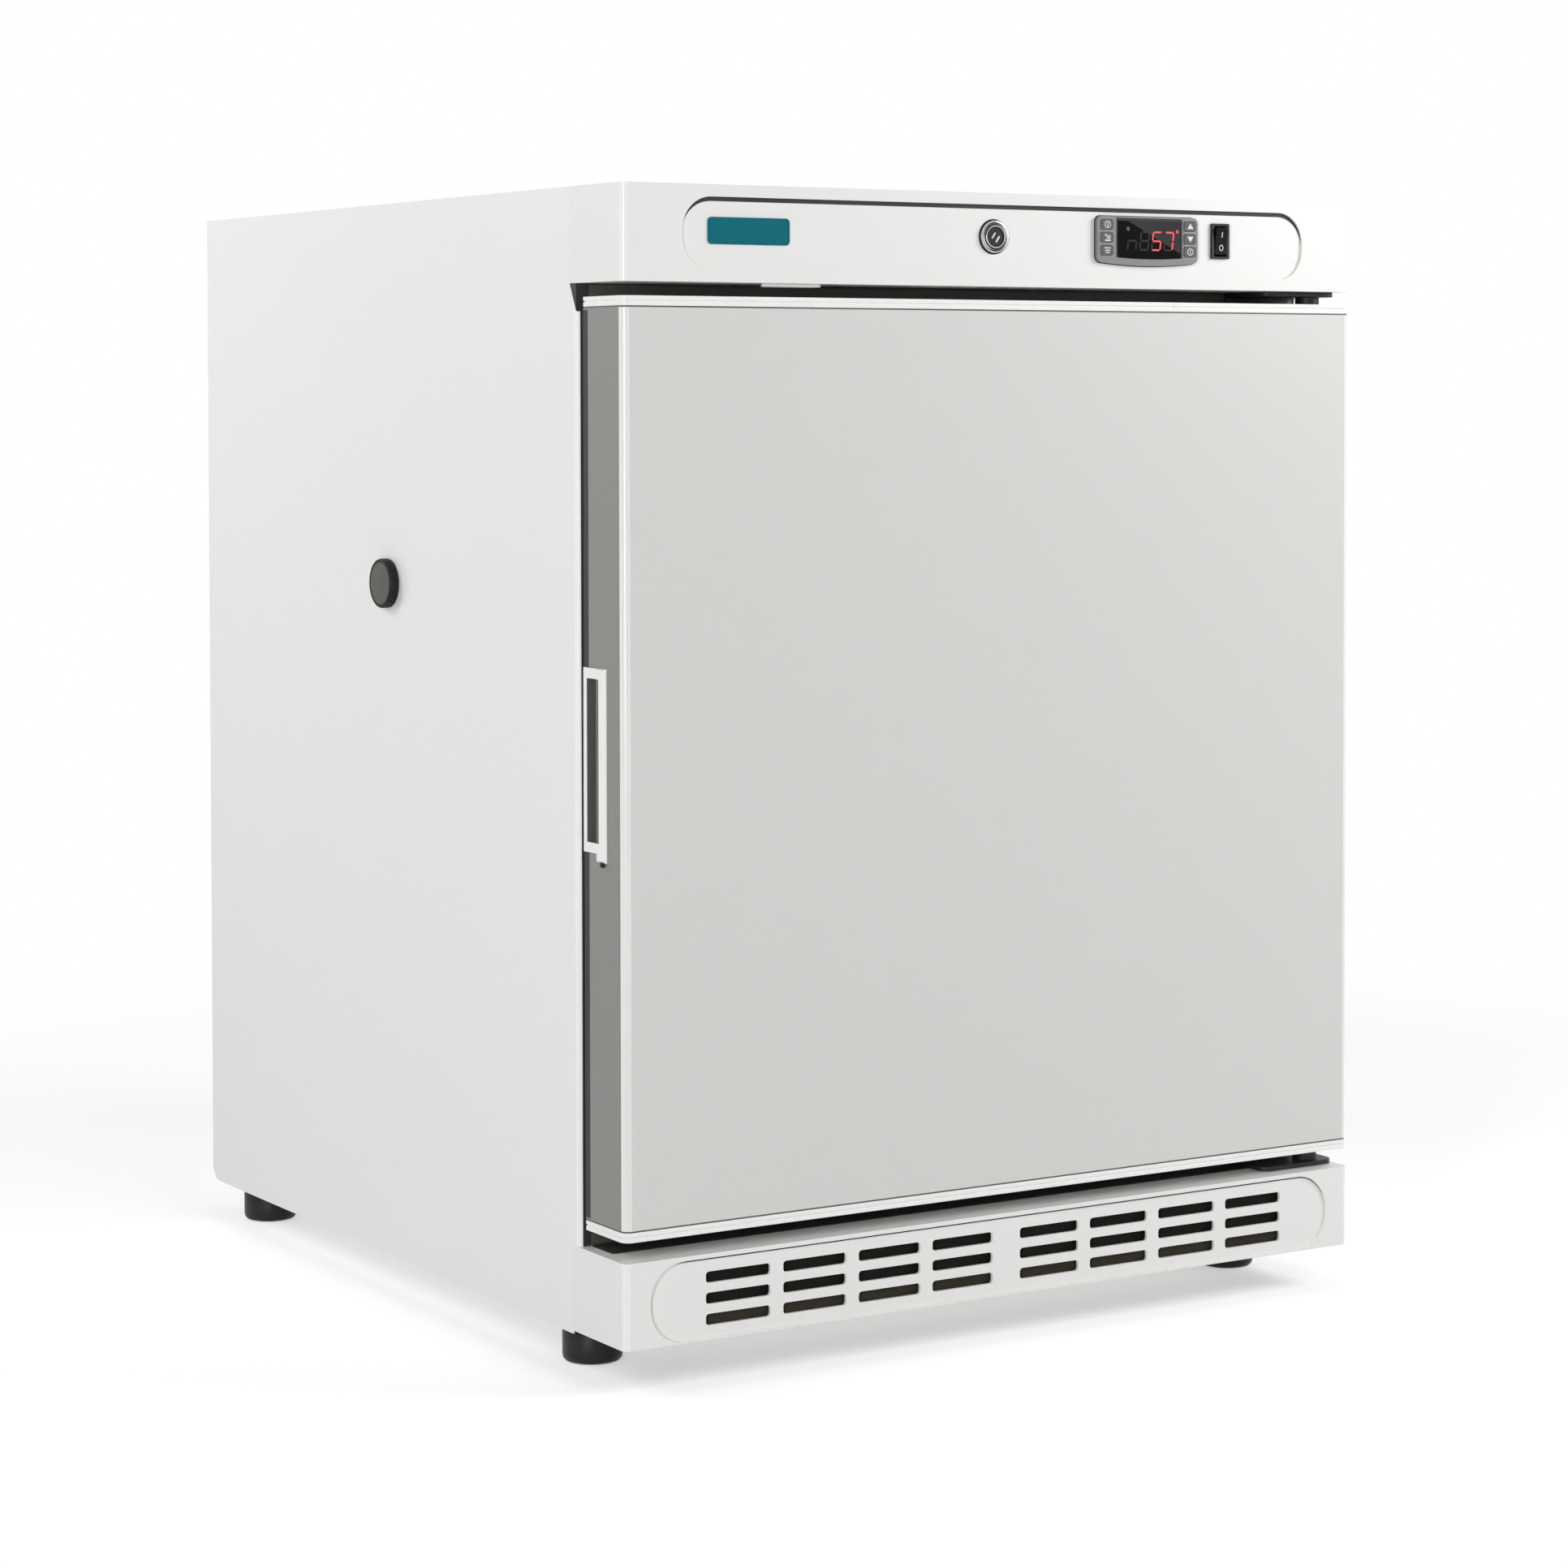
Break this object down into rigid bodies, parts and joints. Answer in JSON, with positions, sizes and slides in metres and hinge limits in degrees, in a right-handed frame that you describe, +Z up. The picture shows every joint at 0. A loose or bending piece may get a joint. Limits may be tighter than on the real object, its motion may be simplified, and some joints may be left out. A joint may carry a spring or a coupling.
{
  "type": "pharmacy refrigerator",
  "caption": "Under-counter pharmacy refrigerator with a solid right-hung door, digital control strip, key lock, slotted kick panel, side cable port and wire shelves.",
  "frame": {"origin": "on the floor, under the middle of the cabinet's footprint", "axes": "+X to the viewer's right as one faces the door, +Y to the back of the cabinet, +Z up"},
  "size_m": [0.567, 0.6279, 0.73],
  "materials": {
    "white_panel": "satin",
    "white_moulding": "satin",
    "door_paint": "satin",
    "frame_grey": "matte",
    "liner_white": "satin",
    "foam": "matte",
    "gasket": "matte",
    "foot_black": "satin",
    "bezel_grey": "matte",
    "key_grey": "matte",
    "window_black": "gloss",
    "black_plastic": "satin",
    "chrome": "polished",
    "zinc_plate": "satin",
    "plug_grey": "matte",
    "port_plastic": "matte",
    "copper": "satin",
    "coil": "satin",
    "compressor_black": "satin",
    "shelf_wire": "satin",
    "lamp_cover": "satin"
  },
  "bodies": {
    "cabinet": {"left_side_panel": "white_panel", "right_side_panel": "white_panel", "top_panel": "white_panel", "back_panel": "white_panel", "rear_grille": "white_panel", "control_fascia": "white_moulding", "door_sensor": "white_moulding", "lower_grille": "white_moulding", "front_frame": "frame_grey", "inner_liner": "liner_white", "evaporator_cover": "liner_white", "insulation_foam": "foam", "compressor_grommets": "gasket", "controller_bezel": "bezel_grey", "display_window": "window_black", "controller_body": "black_plastic", "switch_housing": "black_plastic", "cord_gland": "black_plastic", "evaporator_fan_motor": "black_plastic", "condenser_fan_motor": "black_plastic", "lock_body": "chrome", "top_hinge": "zinc_plate", "bottom_hinge": "zinc_plate", "base_plate": "zinc_plate", "port_sleeve": "port_plastic", "drain_tube": "port_plastic", "drip_tray": "port_plastic", "air_probe": "port_plastic", "refrigerant_pipes": "copper", "filter_drier": "copper", "evaporator": "coil", "condenser": "coil", "compressor": "compressor_black", "lower_shelf": "shelf_wire", "middle_shelf": "shelf_wire", "upper_shelf": "shelf_wire", "lamp": "lamp_cover"},
    "door": {"door_skin": "door_paint", "door_top_cap": "white_moulding", "door_bottom_cap": "white_moulding", "door_foam": "foam", "door_liner": "liner_white", "door_gasket": "gasket", "door_handle": "white_moulding"},
    "lock": {"lock_barrel": "chrome", "lock_tongue": "zinc_plate"},
    "rocker": {"rocker": "black_plastic"},
    "port_plug": {"port_plug": "plug_grey"},
    "evaporator_fan": {"evaporator_fan_blades": "black_plastic"},
    "condenser_fan": {"condenser_fan_blades": "coil"},
    "standby_key": {"standby_key": "key_grey"},
    "menu_key": {"menu_key": "key_grey"},
    "set_key": {"set_key": "key_grey"},
    "up_key": {"up_key": "key_grey"},
    "down_key": {"down_key": "key_grey"},
    "defrost_key": {"defrost_key": "key_grey"},
    "front_left_foot": {"front_left_foot": "foot_black"},
    "front_right_foot": {"front_right_foot": "foot_black"},
    "rear_left_foot": {"rear_left_foot": "foot_black"},
    "rear_right_foot": {"rear_right_foot": "foot_black"}
  },
  "joints": [
    {"name": "door_hinge", "type": "hinge", "parent": "cabinet", "child": "door", "pos_m": [0.262, -0.286, 0], "axis": [0, 0, 1], "range_deg": [0, 110]},
    {"name": "lock_turn", "type": "hinge", "parent": "cabinet", "child": "lock", "pos_m": [-0.0103, -0.284, 0.7024], "axis": [0, -1, 0], "range_deg": [0, 90]},
    {"name": "switch_rock", "type": "hinge", "parent": "cabinet", "child": "rocker", "pos_m": [0.1695, -0.3083, 0.7029], "axis": [-1, 0, 0], "range_deg": [0, 14]},
    {"name": "port_plug_pull", "type": "slide", "parent": "cabinet", "child": "port_plug", "axis": [-1, 0, 0], "range_m": [0, 0.045]},
    {"name": "evaporator_fan_spin", "type": "hinge", "parent": "cabinet", "child": "evaporator_fan", "pos_m": [0.095, 0.2335, 0.498], "axis": [0, 1, 0], "continuous": true},
    {"name": "condenser_fan_spin", "type": "hinge", "parent": "cabinet", "child": "condenser_fan", "pos_m": [-0.165, 0.178, 0.118], "axis": [0, 1, 0], "continuous": true},
    {"name": "standby_press", "type": "slide", "parent": "cabinet", "child": "standby_key", "axis": [0, 1, 0], "range_m": [0, 0.0008], "stiffness_N_per_m": 300},
    {"name": "menu_press", "type": "slide", "parent": "cabinet", "child": "menu_key", "axis": [0, 1, 0], "range_m": [0, 0.0008], "stiffness_N_per_m": 300},
    {"name": "set_press", "type": "slide", "parent": "cabinet", "child": "set_key", "axis": [0, 1, 0], "range_m": [0, 0.0008], "stiffness_N_per_m": 300},
    {"name": "up_press", "type": "slide", "parent": "cabinet", "child": "up_key", "axis": [0, 1, 0], "range_m": [0, 0.0008], "stiffness_N_per_m": 300},
    {"name": "down_press", "type": "slide", "parent": "cabinet", "child": "down_key", "axis": [0, 1, 0], "range_m": [0, 0.0008], "stiffness_N_per_m": 300},
    {"name": "defrost_press", "type": "slide", "parent": "cabinet", "child": "defrost_key", "axis": [0, 1, 0], "range_m": [0, 0.0008], "stiffness_N_per_m": 300},
    {"name": "front_left_foot_turn", "type": "hinge", "parent": "cabinet", "child": "front_left_foot", "pos_m": [-0.25, -0.215, 0], "axis": [0, 0, 1], "continuous": true},
    {"name": "front_right_foot_turn", "type": "hinge", "parent": "cabinet", "child": "front_right_foot", "pos_m": [0.25, -0.215, 0], "axis": [0, 0, 1], "continuous": true},
    {"name": "rear_left_foot_turn", "type": "hinge", "parent": "cabinet", "child": "rear_left_foot", "pos_m": [-0.25, 0.275, 0], "axis": [0, 0, 1], "continuous": true},
    {"name": "rear_right_foot_turn", "type": "hinge", "parent": "cabinet", "child": "rear_right_foot", "pos_m": [0.25, 0.275, 0], "axis": [0, 0, 1], "continuous": true}
  ]
}
